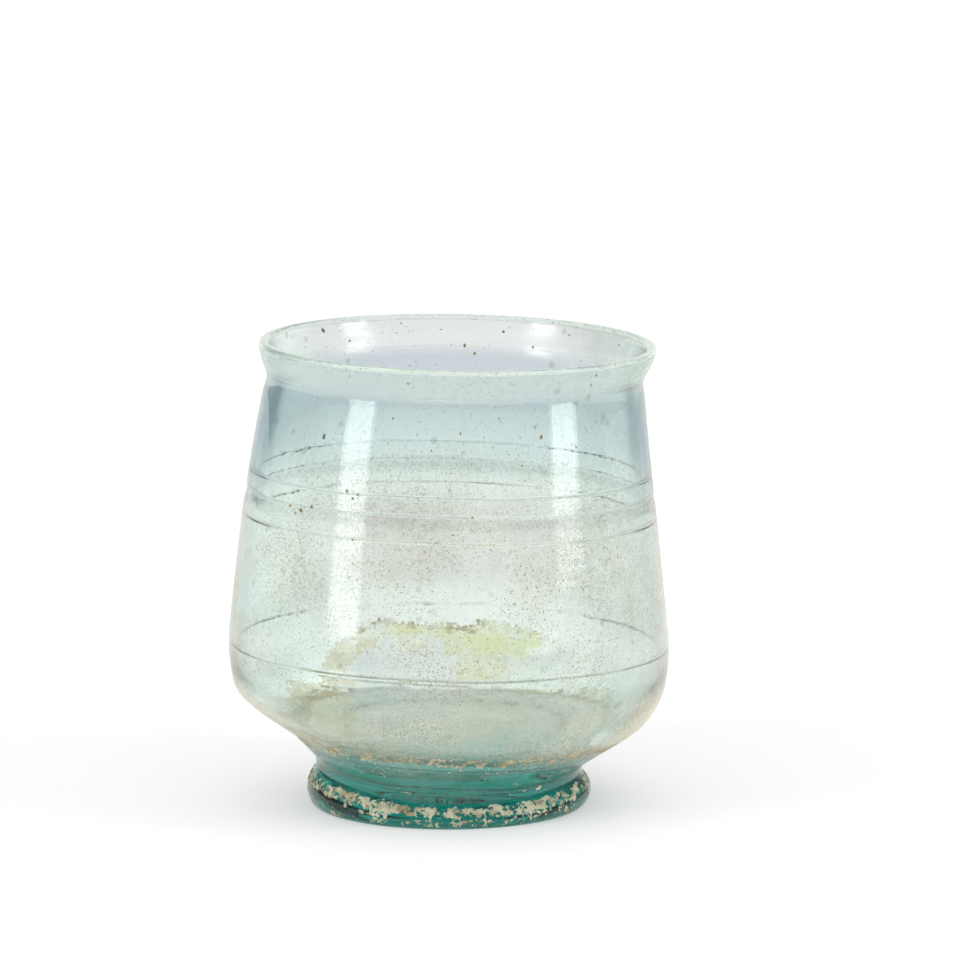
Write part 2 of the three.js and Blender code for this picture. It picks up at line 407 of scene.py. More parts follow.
def deposit_tree():
    """A thin uneven layer on the glass. It is left out where its cover falls below nothing: a sum of the
    outline's own cover, its climb at the back and the sides, and a patchy noise."""
    tree, given, result = geometry_tree("laid_deposit", (
        "Waver", "Thickness", "Patch Scale", "Patchiness", "Flatness", "Back Climb", "Side Climb",
        "Relief Scale", "Seed"), ("Turns",))
    geometry = turned(tree, given["Geometry"], given["Turns"])
    position = own_position(tree)
    squat = vector_calc(tree, "MULTIPLY", position, xyz(tree, 1, 1, given["Flatness"]))
    patches = noise(tree, squat, given["Patch Scale"], 3, given["Seed"])[0]
    outward = vector_calc(tree, "NORMALIZE", vector_calc(tree, "MULTIPLY", position, LEVEL))
    backward = vector_calc(tree, "DOT_PRODUCT", outward, BACKWARD)
    sideways = calc(tree, "SQRT", rest_of(tree, times(tree, backward, backward)))
    climb = times(tree, between(tree, backward, 0.6, 0.95), given["Back Climb"])
    climb = weighted(tree, climb, (between(tree, sideways, 0.8, 0.98), given["Side Climb"]))
    cover = weighted(tree, plus(tree, own(tree, "cover"), climb),
                     (calc(tree, "SUBTRACT", patches, 0.5), given["Patchiness"]))
    geometry = store(tree, geometry, "cover", cover)
    bare = calc(tree, "LESS_THAN", own(tree, "cover"), 0)
    geometry = add(tree, "GeometryNodeDeleteGeometry", {"Geometry": geometry, "Selection": bare},
                   domain="FACE")[0]
    geometry = hand_made(tree, geometry, given["Waver"])
    relief = noise(tree, position, given["Relief Scale"], 2, given["Seed"])[0]
    grown = times(tree, between(tree, own(tree, "cover"), 0, 1, 0.25, 1),
                  between(tree, relief, 0.3, 0.7, 0.15, 1, "LINEAR"))
    raised = add(tree, "GeometryNodeExtrudeMesh", {
        "Mesh": geometry, "Offset Scale": times(tree, grown, given["Thickness"]), "Individual": False},
        mode="FACES")["Mesh"]
    under = add(tree, "GeometryNodeFlipFaces", {0: geometry})[0]
    joined = tree.nodes.new("GeometryNodeJoinGeometry")
    tree.links.new(raised, joined.inputs[0])
    tree.links.new(under, joined.inputs[0])
    return closed(tree, merged(tree, joined.outputs[0], 1e-7), given, result)


def lumps_at(tree, points, rotation, size, rounding, low, high, seed):
    """Flattened lumps at points, each of its own size and shape."""
    lump = add(tree, "GeometryNodeMeshIcoSphere", {"Radius": 1, "Subdivisions": rounding})[0]
    shape = add(tree, "FunctionNodeRandomValue", {"Min": low, "Max": high, "Seed": seed},
                data_type="FLOAT_VECTOR")[0]
    return add(tree, "GeometryNodeInstanceOnPoints", {
        "Points": points, "Instance": lump, "Rotation": rotation, "Scale": scaled(tree, shape, size)})[0]


# What sets the grains, with its unit: lengths are given in millimetres, the density per square metre
GRAIN_UNITS = {"Density": 1, "Lowest": MM, "Highest": MM, "Gather Scale": 1, "Gather": 1, "Smallest": MM,
               "Largest": MM, "Inner Share": 1}


def grain_tree():
    """Small flattened grains scattered over a surface between two heights, thicker where a noise is high."""
    tree, given, result = geometry_tree("scattered_grains", GRAIN_UNITS, ("Seed",))
    height = own(tree, "height")
    gathered = noise(tree, own_position(tree), given["Gather Scale"], 2)[0]
    inside_range = times(tree, calc(tree, "GREATER_THAN", height, given["Lowest"]),
                         calc(tree, "LESS_THAN", height, given["Highest"]))
    enough = plus(tree, given["Gather"], 0.15)
    kept = times(tree, inside_range, between(tree, gathered, given["Gather"], enough))
    bare = times(tree, own(tree, "inside"), rest_of(tree, given["Inner Share"]))
    kept = times(tree, kept, rest_of(tree, bare))
    spread = add(tree, "GeometryNodeDistributePointsOnFaces", {
        "Mesh": given["Geometry"], "Density": times(tree, kept, given["Density"]), "Seed": given["Seed"]},
        distribute_method="RANDOM")
    chance = add(tree, "FunctionNodeRandomValue", {"Min": 0, "Max": 1, "Seed": given["Seed"]},
                 data_type="FLOAT")[1]
    mostly_small = calc(tree, "POWER", chance, 2.5)
    size = between(tree, mostly_small, 0, 1, given["Smallest"], given["Largest"], "LINEAR")
    grains = lumps_at(tree, spread["Points"], spread["Rotation"], size, 1, (0.7, 0.7, 0.12), (1.3, 1.3, 0.3),
                      given["Seed"])
    return closed(tree, grains, given, result)


def set_specks_tree():
    """Flattened lumps at the points given, each of its own size, facing outwards."""
    tree, given, result = geometry_tree("set_specks", ("Waver",))
    position = own_position(tree)
    geometry = store(tree, given["Geometry"], "height", parts(tree, position)["Z"])
    geometry = hand_made(tree, geometry, given["Waver"])
    outward = vector_calc(tree, "MULTIPLY", position, LEVEL)
    facing = add(tree, "FunctionNodeAlignEulerToVector", {"Vector": outward}, axis="Z")[0]
    lumps = lumps_at(tree, geometry, facing, own(tree, "size"), 2, (0.6, 0.7, 0.2), (1.2, 1.3, 0.35), 8)
    return closed(tree, lumps, given, result)


# Shader groups
def shader_group(name, *labels):
    """A group that makes one value from the named ones, with its input nodes and its output."""
    group = bpy.data.node_groups.new(name, "ShaderNodeTree")
    for label in labels:
        group.interface.new_socket(label, in_out="INPUT", socket_type="NodeSocketFloat")
    group.interface.new_socket("Value", in_out="OUTPUT", socket_type="NodeSocketFloat")
    return group, group.nodes.new("NodeGroupInput").outputs, group.nodes.new("NodeGroupOutput").inputs[0]


def object_point(tree):
    return add(tree, "ShaderNodeTexCoord")["Object"]


def seeded_point(group, seed):
    """The object's own point, moved by a seed."""
    return vector_calc(group, "ADD", object_point(group), seed)


def mottle_group():
    """Cloudy patches at one scale, with finer ones inside them, as a value from 0 to 1."""
    group, given, result = shader_group("mottle", "Scale", "Detail", "Low", "High", "Seed")
    point = seeded_point(group, given["Seed"])
    cloudy = noise(group, point, given["Scale"], given["Detail"], roughness=0.62)[0]
    group.links.new(between(group, cloudy, given["Low"], given["High"]), result)
    return group


def streak_group():
    """Fine level lines left by turning the hot glass, as a value from 0 to 1."""
    group, given, result = shader_group("turning_lines", "Fineness", "Seed")
    drawn_out = vector_calc(group, "MULTIPLY", seeded_point(group, given["Seed"]), (9, 9, 620))
    lines = noise(group, drawn_out, given["Fineness"], 2)[0]
    group.links.new(between(group, lines, 0.3, 0.7, kind="LINEAR"), result)
    return group


def speck_group():
    """Round specks or pits: one per cell, of random size, of which only a share is there."""
    group, given, result = shader_group("specks", "Scale", "Size", "Share")
    cells = add(group, "ShaderNodeTexVoronoi", {"Vector": object_point(group), "Scale": given["Scale"]})
    chance = add(group, "ShaderNodeSeparateColor", {0: cells["Color"]})
    radius = times(group, given["Size"], plus(group, 0.4, chance[1]))
    round_spot = falling(group, calc(group, "DIVIDE", cells["Distance"], radius), 0.5, 1)
    there = calc(group, "LESS_THAN", chance[0], given["Share"])
    group.links.new(times(group, round_spot, there), result)
    return group


MOTTLE = mottle_group()
STREAKS = streak_group()
SPECKS = speck_group()


def group_node(tree, group, **values):
    return add(tree, "ShaderNodeGroup", values, node_tree=group)[0]


def mottle(tree, scale, detail, low, high, seed):
    return group_node(tree, MOTTLE, Scale=scale, Detail=detail, Low=low, High=high, Seed=seed)


# Materials
def paint(red, green, blue):
    """A colour as seen on a screen, from 0 to 255, as the shader's linear one."""
    linear = [((c / 255 + 0.055) / 1.055) ** 2.4 if c > 10 else c / 255 / 12.92 for c in (red, green, blue)]
    return (*linear, 1)


def ramp(tree, value, stops, kind="LINEAR"):
    made = tree.nodes.new("ShaderNodeValToRGB")
    tree.links.new(value, made.inputs[0])
    made.color_ramp.interpolation = kind
    elements = made.color_ramp.elements
    while len(elements) > 1:
        elements.remove(elements[-1])
    elements[0].position, elements[0].color = stops[0]
    for position, colour in stops[1:]:
        elements.new(position).color = colour
    return made.outputs[0]


def mixed(tree, share, start, end, kind="MIX"):
    values = {"Factor": share, "A": start, "B": end}
    return named(add(tree, "ShaderNodeMix", values, data_type="RGBA", blend_type=kind), "Result")


def laid_over(tree, colour, *layers, kind="MIX"):
    """Colours laid one after another over the first, each with its share and the strength of that."""
    for share, strength, shade in layers:
        colour = mixed(tree, times(tree, share, strength), colour, paint(*shade), kind)
    return colour


def material_tree(name):
    material = bpy.data.materials.new(name)
    material.use_nodes = True
    tree = material.node_tree
    tree.nodes.clear()
    shader = tree.nodes.new("ShaderNodeBsdfPrincipled")
    output = tree.nodes.new("ShaderNodeOutputMaterial")
    tree.links.new(shader.outputs[0], output.inputs["Surface"])
    return material, tree, shader, output


def set_shader(tree, shader, **values):
    for name, value in values.items():
        feed(tree, shader.inputs[name.replace("_", " ")], value)


def surface_value(tree, name):
    return add(tree, "ShaderNodeAttribute", attribute_name=name)["Fac"]


def bumped(tree, height, strength, distance):
    return add(tree, "ShaderNodeBump", {"Height": height, "Strength": strength, "Distance": distance})[0]


def seen_edge_on(tree):
    return add(tree, "ShaderNodeLayerWeight", {"Blend": 0.5})["Facing"]


def at_height(tree, stops):
    """A colour that changes with the height on the body. A stop is a height in millimetres and a colour."""
    share = calc(tree, "DIVIDE", surface_value(tree, "height"), HEIGHT * MM)
    return ramp(tree, share, [(z / HEIGHT, colour) for z, colour in stops], "EASE")


def level_at_height(tree, stops):
    return at_height(tree, [(z, (level, level, level, 1)) for z, level in stops])


def clearer_left(tree):
    """A share that falls on the clearer, left side of the body."""
    return between(tree, parts(tree, object_point(tree))["X"], -42 * MM, -12 * MM, 0.35, 1)


# Glass: tints, and shares of haze and of the darker edge, each at its height in millimetres
EDGE_TINT = paint(60, 102, 114)
BODY_TINTS = ((0, (30, 170, 162)), (8, (30, 172, 162)), (10, (98, 200, 186)), (13, (205, 234, 224)),
              (15, (245, 250, 244)), (17, (255, 255, 252)), (34, (255, 255, 252)), (58, (255, 255, 251)),
              (68, (254, 255, 253)), (78, (226, 231, 232)), (86, (223, 229, 231)), (89, (253, 253, 250)),
              (95, (252, 249, 246)))
BODY_EDGES = ((6, 0.5), (20, 0.15), (60, 0.12), (70, 0.9), (84, 1.1), (89, 0.25), (95, 0.1))
BODY_HAZE = ((6, 0.3), (20, 0.12), (33, 0.22), (40, 0.55), (52, 0.95), (62, 0.5), (69, 0.12), (86, 0.06),
             (92, 0.1))
BODY_DENSITY = 58
FOOT_TINTS = ((0, (84, 200, 192)), (8, (66, 186, 182)))
FOOT_LEVELS = ((0, 0.2), (8, 0.2))
FOOT_DENSITY = 165
GLASS_TINT = (0.04, 0.72, 0.69, 1)


def glass_material(name, tints, haze_stops, edge_stops, density):
    """Tinted glass, darker where it is seen edge on. Haze dulls it where the burial film holds, in clouds,
    grains and specks."""
    material, tree, shader, output = material_tree(name)
    haze = level_at_height(tree, haze_stops)
    cloud = mottle(tree, 48, 3, 0.34, 0.66, 1)
    grain = mottle(tree, 1500, 2, 0.5, 0.62, 2)
    lines = group_node(tree, STREAKS, Fineness=1, Seed=3)
    level = surface_value(tree, "height")
    spots = group_node(tree, SPECKS, Scale=330, Size=0.26,
                       Share=between(tree, level, 28 * MM, 42 * MM, 0.02, 0.10))
    crowded = times(tree, cloud, haze, clearer_left(tree))
    pits = group_node(tree, SPECKS, Scale=1900, Size=0.4, Share=crowded)
    hazy = times(tree, haze, weighted(tree, 0.3, (cloud, 0.7)), clearer_left(tree))

    facing = seen_edge_on(tree)
    edge = plus(tree, calc(tree, "POWER", facing, 3.5), between(tree, facing, 0.6, 0.75, 0, 0.7))
    edge = calc(tree, "MINIMUM", times(tree, edge, level_at_height(tree, edge_stops)), 1)
    colour = at_height(tree, [(z, paint(*shade)) for z, shade in tints])
    colour = mixed(tree, edge, colour, EDGE_TINT, "MULTIPLY")
    place = parts(tree, object_point(tree))
    at_back = between(tree, place["Y"], 12 * MM, 34 * MM)
    at_neck = between(tree, level, 74 * MM, 80 * MM)
    in_middle = times(tree, falling(tree, calc(tree, "ABSOLUTE", place["X"]), 14 * MM, 32 * MM),
                      hump(tree, level, (36 * MM, 42 * MM), (52 * MM, 60 * MM)))
    colour = laid_over(
        tree, colour, (at_back, at_neck, (238, 234, 238)), (at_back, in_middle, (244, 237, 238)),
        (hazy, 0.5, (232, 222, 214)), (times(tree, hazy, grain), 0.35, (178, 172, 146)),
        (pits, 0.7, (124, 126, 100)), kind="MULTIPLY")
    colour = laid_over(tree, colour, (spots, 0.5, (130, 124, 84)))
    # Painted shade in the wheel cuts: they are darkened more where deeper, but little where the wide band is
    # deepest, and less where the wall is seen edge on.
    cut = surface_value(tree, "cut")
    cut_shade = times(tree, calc(tree, "MINIMUM", times(tree, cut, 7000), 1),
                 falling(tree, cut, 0.22 * MM, 0.32 * MM, 0.15), weighted(tree, 0.35, (grain, 0.3)))
    seen_square = falling(tree, facing, 0.2, 0.6, 0.3)
    colour = laid_over(tree, colour, (cut_shade, seen_square, (136, 144, 128)), kind="MULTIPLY")

    dull_lip = times(tree, surface_value(tree, "inside"), between(tree, level, 85 * MM, 89 * MM))
    relief = weighted(tree, lines, (times(tree, grain, hazy), 0.3))
    set_shader(tree, shader, Base_Color=colour, Normal=bumped(tree, relief, 0.15, 0.03 * MM),
               Roughness=weighted(tree, 0.01, (hazy, 0.035), (dull_lip, 0.22)), Transmission_Weight=1,
               Alpha=rest_of(tree, surface_value(tree, "welded")), IOR=1.5)
    volume = add(tree, "ShaderNodeVolumeAbsorption", {"Color": GLASS_TINT, "Density": density})[0]
    tree.links.new(volume, output.inputs["Volume"])
    return material


def soil_material(name, hollow, top):
    """Burial crust of the colours given for its hollows and its tops, browner in patches."""
    material, tree, shader, _ = material_tree(name)
    cloud = mottle(tree, 450, 3, 0.38, 0.62, 4)
    grain = mottle(tree, 1500, 2, 0.4, 0.6, 5)
    brown = mottle(tree, 110, 3, 0.5, 0.66, 6)
    colour = mixed(tree, cloud, paint(*hollow), paint(*top))
    colour = laid_over(tree, colour, (grain, 0.4, (226, 222, 200)))
    colour = laid_over(tree, colour, (brown, 0.7, (196, 160, 110)), kind="MULTIPLY")
    edge = weighted(tree, surface_value(tree, "cover"), (grain, 0.5), (cloud, 0.5))
    set_shader(tree, shader, Base_Color=colour, Alpha=between(tree, edge, 0.86, 1),
               Roughness=weighted(tree, 0.78, (grain, 0.2)),
               Normal=bumped(tree, plus(tree, cloud, grain), 0.6, 0.2 * MM))
    return material


# Where the coloured patches of the film lie, in millimetres, and one over their reach along X, Y and Z
FILM_PATCHES = {"yellow_spot": ((11.5, 41, 26.5), (95, 30, 240)),
                "yellow_band": ((-3, 42, 28.5), (75, 30, 480)),
                "straw": ((3, 38, 22.5), (55, 30, 210)), "cream": ((-24, 26, 20), (75, 30, 110)),
                "lilac": ((-9, 34, 17.5), (75, 30, 120)), "white": ((21, 34, 22), (90, 30, 150))}
PEARL = ((0, (236, 250, 246)), (0.3, (252, 250, 232)), (0.5, (254, 252, 242)), (0.7, (248, 252, 255)),
         (1, (255, 246, 250)))
WHITE = (255, 255, 255)


def film_material():
    """Milky, pearly film that flakes: torn pieces of greenish white, cream and lilac. At the back it has
    yellow-green patches, and its torn upper edge is brown."""
    material, tree, shader, _ = material_tree("pearly_film")
    point = object_point(tree)
    cloud = mottle(tree, 45, 3, 0.38, 0.62, 7)
    streak = mottle(tree, 140, 4, 0.47, 0.55, 8)
    grain = mottle(tree, 1300, 1, 0.35, 0.65, 9)
    hue = mottle(tree, 70, 2, 0.25, 0.75, 10)
    bent = vector_calc(tree, "ADD", point, scaled(tree, noise(tree, point, 260, 2)["Color"], 0.005))
    cells = add(tree, "ShaderNodeTexVoronoi", {"Vector": bent, "Scale": 210}, distance="MANHATTAN")
    chance = add(tree, "ShaderNodeSeparateColor", {0: cells["Color"]})
    white_flake = calc(tree, "GREATER_THAN", chance[0], 0.68)
    cream_flake = calc(tree, "LESS_THAN", chance[1], 0.3)
    height = surface_value(tree, "height")
    low = falling(tree, height, 14.2 * MM, 24 * MM)
    ragged = plus(tree, times(tree, streak, 0.3), times(tree, chance[2], 0.3))
    patches = []
    for centre, reach in FILM_PATCHES.values():
        from_centre = vector_calc(tree, "SUBTRACT", point, tuple(c * MM for c in centre))
        distance = vector_calc(tree, "LENGTH", vector_calc(tree, "MULTIPLY", from_centre, reach))
        patches.append(falling(tree, plus(tree, distance, ragged), 1.15, 1.25))
    yellow_spot, yellow_band, straw, cream, lilac, white = patches
    yellow = calc(tree, "MAXIMUM", yellow_spot, yellow_band)
    colour = laid_over(
        tree, ramp(tree, hue, [(share, paint(*shade)) for share, shade in PEARL]),
        (cloud, 0.5, (250, 246, 226)), (cream_flake, 0.7, (240, 228, 192)), (white_flake, 0.9, WHITE),
        (low, 0.5, (246, 250, 238)), (straw, 0.8, (244, 240, 202)), (cream, 0.8, (240, 230, 204)),
        (lilac, 0.9, (250, 250, 255)), (white, 0.9, (255, 255, 252)), (yellow, 0.7, (248, 249, 194)),
        (white_flake, 0.45, WHITE))

    place = parts(tree, point)
    torn = weighted(tree, surface_value(tree, "cover"), (calc(tree, "SUBTRACT", grain, 0.5), 0.25))
    from_middle = calc(tree, "ABSOLUTE", plus(tree, place["X"], 5 * MM))
    high_in_middle = times(tree, falling(tree, from_middle, 11 * MM, 18 * MM, 0.15),
                           between(tree, height, 25 * MM, 26.5 * MM))
    at_edge = times(tree, hump(tree, torn, (0.06, 0.12), (0.22, 0.38)), high_in_middle,
                    weighted(tree, 0.45, (streak, 0.55)))
    colour = mixed(tree, at_edge, colour, paint(170, 154, 98))
    body = weighted(tree, 0.2, (streak, 0.15), (cloud, 0.1), (white_flake, 0.4), (cream_flake, 0.2),
                    (yellow, 0.4), (cream, 0.35), (lilac, 0.6), (white, 0.5), (straw, 0.3), (low, 0.6))
    body = times(tree, body, between(tree, place["Y"], -26 * MM, 0, 0.4, 1),
                 between(tree, height, 15 * MM, 16 * MM))
    body = times(tree, between(tree, torn, 0.06, 0.16), weighted(tree, body, (at_edge, 0.9)))
    set_shader(tree, shader, Base_Color=colour, Alpha=calc(tree, "MINIMUM", body, 1),
               Roughness=weighted(tree, 0.35, (grain, 0.25)),
               Normal=bumped(tree, weighted(tree, white_flake, (grain, 0.3)), 0.3, 0.2 * MM),
               Transmission_Weight=0.9, IOR=1.04)
    return material


def silt_material():
    """A milky layer that covers the floor and thins out towards the front, cream at its left and right."""
    material, tree, shader, _ = material_tree("milky_silt")
    cloud = mottle(tree, 70, 3, 0.36, 0.64, 15)
    grain = mottle(tree, 900, 2, 0.36, 0.64, 16)
    torn = mottle(tree, 150, 4, 0.4, 0.6, 17)
    place = parts(tree, object_point(tree))
    ragged = plus(tree, times(tree, cloud, 6 * MM), times(tree, torn, 4 * MM))
    across = calc(tree, "SUBTRACT", place["X"], ragged)
    colour = mixed(tree, cloud, paint(248, 255, 248), paint(255, 253, 244))
    colour = mixed(tree, between(tree, across, -27 * MM, -24 * MM, 0.8, 0), colour, paint(255, 246, 214))
    colour = mixed(tree, between(tree, across, -6 * MM, -3 * MM, 0, 0.7), colour, paint(255, 251, 236))
    held = weighted(tree, surface_value(tree, "cover"), (torn, 0.35))
    body = times(tree, weighted(tree, 0.7, (cloud, 0.2), (grain, 0.1)),
                 between(tree, place["Y"], -28 * MM, 6 * MM, 0.15, 1), between(tree, held, 0.35, 0.95))
    set_shader(tree, shader, Base_Color=colour, Roughness=weighted(tree, 0.3, (grain, 0.15)), Alpha=body,
               Metallic=0.4)
    return material


def haze_material():
    """A thin whitish bloom on the outside, in clouds broken up by fine grains and dark pits."""
    material, tree, shader, _ = material_tree("burial_haze")
    cloud = mottle(tree, 60, 4, 0.36, 0.64, 12)
    pits = group_node(tree, SPECKS, Scale=2500, Size=0.42, Share=times(tree, cloud, 0.6))
    height = surface_value(tree, "height")
    at_bowl = hump(tree, height, (12 * MM, 16 * MM), (23 * MM, 29 * MM), 0, 0.8)
    at_lip = between(tree, height, 86 * MM, 90 * MM, 0, 0.8)
    grain = calc(tree, "MAXIMUM", mottle(tree, 1900, 2, 0.4, 0.6, 13), at_lip)
    colour = mixed(tree, cloud, paint(250, 252, 248), paint(240, 241, 230))
    for share, shade in ((at_bowl, (255, 246, 222)), (at_lip, (236, 250, 240)), (pits, (142, 144, 120))):
        colour = mixed(tree, share, colour, paint(*shade))

    cover = surface_value(tree, "cover")
    across = calc(tree, "ABSOLUTE", parts(tree, object_point(tree))["X"])
    flank = times(tree, between(tree, across, 28 * MM, 40 * MM), falling(tree, height, 34 * MM, 42 * MM))
    body = times(tree, weighted(tree, 0.35, (cloud, 0.65)), weighted(tree, 0.4, (grain, 0.6)),
                 clearer_left(tree))
    body = weighted(tree, body, (between(tree, seen_edge_on(tree), 0.6, 0.95), 1.2), (flank, 0.6))
    on_wall = hump(tree, height, (26 * MM, 44 * MM), (56 * MM, 67 * MM), 0.25, 1)
    pitted = times(tree, pits, on_wall, calc(tree, "MINIMUM", times(tree, cover, 2.5), 0.5),
                   plus(tree, 1, flank))
    set_shader(tree, shader, Base_Color=colour, Roughness=weighted(tree, 0.45, (grain, 0.2)),
               Alpha=calc(tree, "MINIMUM", plus(tree, times(tree, cover, body), pitted), 1))
    return material


def grain_material(name, scale, seed, dark, light):
    material, tree, shader, _ = material_tree(name)
    shade = mottle(tree, scale, 1, 0.35, 0.65, seed)
    set_shader(tree, shader, Base_Color=mixed(tree, shade, paint(*dark), paint(*light)),
               Roughness=weighted(tree, 0.7, (shade, 0.2)))
    return material


blown_glass = glass_material("blown_glass", BODY_TINTS, BODY_HAZE, BODY_EDGES, BODY_DENSITY)
coil_glass = glass_material("coil_glass", FOOT_TINTS, FOOT_LEVELS, FOOT_LEVELS, FOOT_DENSITY)
soil_crust = soil_material("soil_crust", (142, 132, 96), (208, 206, 178))
heel_soil = soil_material("heel_soil", (178, 158, 118), (232, 216, 180))
pale_sediment = soil_material("pale_sediment", (246, 244, 226), (255, 255, 250))
pale_grains = grain_material("pale_grains", 500, 14, (196, 188, 158), (226, 228, 212))
brown_specks = grain_material("brown_specks", 700, 11, (122, 112, 78), (170, 160, 122))
pearly_film = film_material()
burial_haze = haze_material()
milky_silt = silt_material()

# The layers: how far off the glass they start, where they end and how much they cover, in millimetres
BLOOM_ROOM = 0.04
HAZE_LIFT = 0.015
HAZE_COVERS = ((7, 0.03), (12, 0.1), (16, 0.36), (22, 0.36), (28, 0.18), (38, 0.34), (56, 0.38), (64, 0.28),
               (70, 0.14), (80, 0.06), (87, 0.12), (89.5, 0.27), (96, 0.27))
HAZE_LIP_COVER = 0.75
FILM_LIFT = 0.05
FILM_TOP = 33
FILM_FOOT = 14.6
SILT_LIFT = 0.02
SILT_TOP = 17.5
CRUST_LIFT = 0.02
FLOOR_CRUST_LIFT = 0.4
FLOOR_CRUST_RADIUS = 23.6
HEEL_FLECKS_TOP = 23


# Outlines. A row is a radius and a height in millimetres, and its own values.
def row(r, z, **values):
    return (r, z, values)


def outside_levels():
    """Heights of the rows on the outside: closer together at the wheel cuts."""
    fine = (-0.45, -0.3, -0.2, -0.1, 0, 0.1, 0.2, 0.3, 0.45)
    cuts = [line + step for line in (*LINE_HEIGHTS, SECOND_LINE_HEIGHT) for step in fine]
    cuts += [BAND_TOP - step for step in (-0.2, 0, 0.1, 0.2, 0.35, 0.7, 1.2, 1.8, 2.4, 3, 3.4, 3.6)]
    plain = steps(40, WAIST_HEIGHT, BELLY_HEIGHT) + steps(60, BELLY_HEIGHT, NECK_HEIGHT)[1:]
    plain += steps(12, NECK_HEIGHT, LIP_HEIGHT)[1:]
    return sorted(cuts + [z for z in plain if all(abs(z - cut) > 0.15 for cut in cuts)])


def outside_row(z, lift, **values):
    depths = {"cut": line_depth(z) * MM, "second_cut": second_line_depth(z) * MM}
    return row(blown_radius(z) + lift, z, **depths, **values)


def rim_rows(lift, cover):
    """The rounded lip, a hair lower than in the CAD source, so that its bloom stays inside the CAD box."""
    centre = RIM_RADIUS - LIP_ROUND
    reach = LIP_ROUND + lift
    return [row(centre + reach * math.cos(a), LIP_HEIGHT + (reach - BLOOM_ROOM) * math.sin(a), cover=cover)
            for a in steps(14, 0, math.pi)[1:]]


def body_outline():
    outside = [outside_row(z, 0) for z in outside_levels()]
    heights = steps(10, LIP_HEIGHT, NECK_HEIGHT)[1:] + steps(45, NECK_HEIGHT, BELLY_HEIGHT)[1:]
    heights += steps(26, BELLY_HEIGHT, FLOOR_HEIGHT + FLOOR_CROWN / 2)[1:]
    inside = [row(cavity_radius(z), z, inside=1) for z in heights]
    floor = [row(r, floor_surface(r), inside=1) for r in steps(18, FLOOR_RADIUS, 0)]
    underside = [row(r, dome(r)) for r in steps(16, 0, PUSH_UP_RADIUS)]
    underside.append(row(CORE_RADIUS - CORE_EDGE, CORE_HEIGHT))
    weld = [row(CORE_RADIUS, z, welded=1) for z in steps(5, CORE_HEIGHT, WAIST_HEIGHT)]
    weld.append(row(WELD_RADIUS, WAIST_HEIGHT, welded=1))
    return [*underside, *weld, *outside, *rim_rows(0, 0), *inside, *floor]


def foot_outline():
    bore = CORE_RADIUS + WELD_GAP
    rest = bore + FOOT_REST_INSET
    weld = [row(r, COIL_TOP, welded=1) for r in steps(3, WELD_RADIUS, bore)]
    weld += [row(bore, z, welded=1) for z in steps(5, COIL_TOP, CORE_HEIGHT)[1:]]
    under = [row(lerp(bore, rest, t), CORE_HEIGHT * (1 - t) ** 2) for t in steps(5, 0, 1)]
    under += [row(lerp(rest, rest + FOOT_REST_WIDTH, t), 0) for t in steps(3, 0, 1)[1:]]
    face = [row(coil_radius(z), z) for z in steps(26, FOOT_CHAMFER, COIL_TOP)]
    return [*under, *face, *weld]


def haze_outline():
    """The outside of the wall, with a little more bloom on the belly and the lip than on the neck."""
    wall = [outside_row(z, HAZE_LIFT, cover=read_off(HAZE_COVERS, z)) for z in outside_levels()]
    return wall + rim_rows(HAZE_LIFT, HAZE_LIP_COVER)


def film_outline():
    return [row(cavity_radius(z) - FILM_LIFT, z + FILM_LIFT, cover=1 - (z - 14) / 5)
            for z in steps(56, FILM_TOP, FILM_FOOT)]


def silt_outline():
    wall = [row(cavity_radius(z) - SILT_LIFT, z, cover=1 - ease(FILM_FOOT, SILT_TOP, z))
            for z in steps(18, SILT_TOP, FLOOR_HEIGHT + FLOOR_CROWN / 2)]
    return wall + [row(r - SILT_LIFT if r else 0, floor_surface(r) + SILT_LIFT, cover=1)
                   for r in steps(12, FLOOR_RADIUS, 0)]


def floor_crust_outline():
    return [row(r, floor_surface(r) + FLOOR_CRUST_LIFT, cover=0.3 - abs(r - FLOOR_CRUST_RADIUS) / 3.2)
            for r in steps(12, 25.3, 20)]


def coil_cover(z):
    return 0.12 + 0.4 * ease(3.8, 4.6, z) - 0.6 * ease(6.2, 6.8, z)


def foot_crust_outline():
    return [row(coil_radius(z) + CRUST_LIFT, z, cover=coil_cover(z))
            for z in steps(30, FOOT_CHAMFER, COIL_TOP)]


def heel_cover(z):
    gather = 0.5 * ease(12.6, 14.2, z) - 0.4 * ease(15.2, 16.6, z) - 0.24
    return gather - 0.12 * ease(17, 19, z) - 0.3 * ease(20, HEEL_FLECKS_TOP, z)


def heel_flecks_outline():
    return [row(blown_radius(z) + CRUST_LIFT, z, cover=heel_cover(z))
            for z in steps(56, WAIST_HEIGHT + 0.1, HEEL_FLECKS_TOP)]


# Pieces
def new_object(name, data):
    made = bpy.data.objects.new(name, data)
    bpy.context.scene.collection.objects.link(made)
    return made


def mesh_object(name, points, edges=(), faces=(), **attributes):
    mesh = bpy.data.meshes.new(name)
    mesh.from_pydata(points, edges, faces)
    for label, values in attributes.items():
        mesh.attributes.new(label, "FLOAT", "POINT").data.foreach_set("value", values)
    return new_object(name, mesh)


def outline_object(name, rows):
    points = [(r * MM, 0, z * MM) for r, z, _ in rows]
    edges = [(i, i + 1) for i in range(len(rows) - 1)]
    own_values = {label: [values.get(label, 0.0) for *_, values in rows] for label in OWN_VALUES}
    return mesh_object(name, points, edges, **own_values)


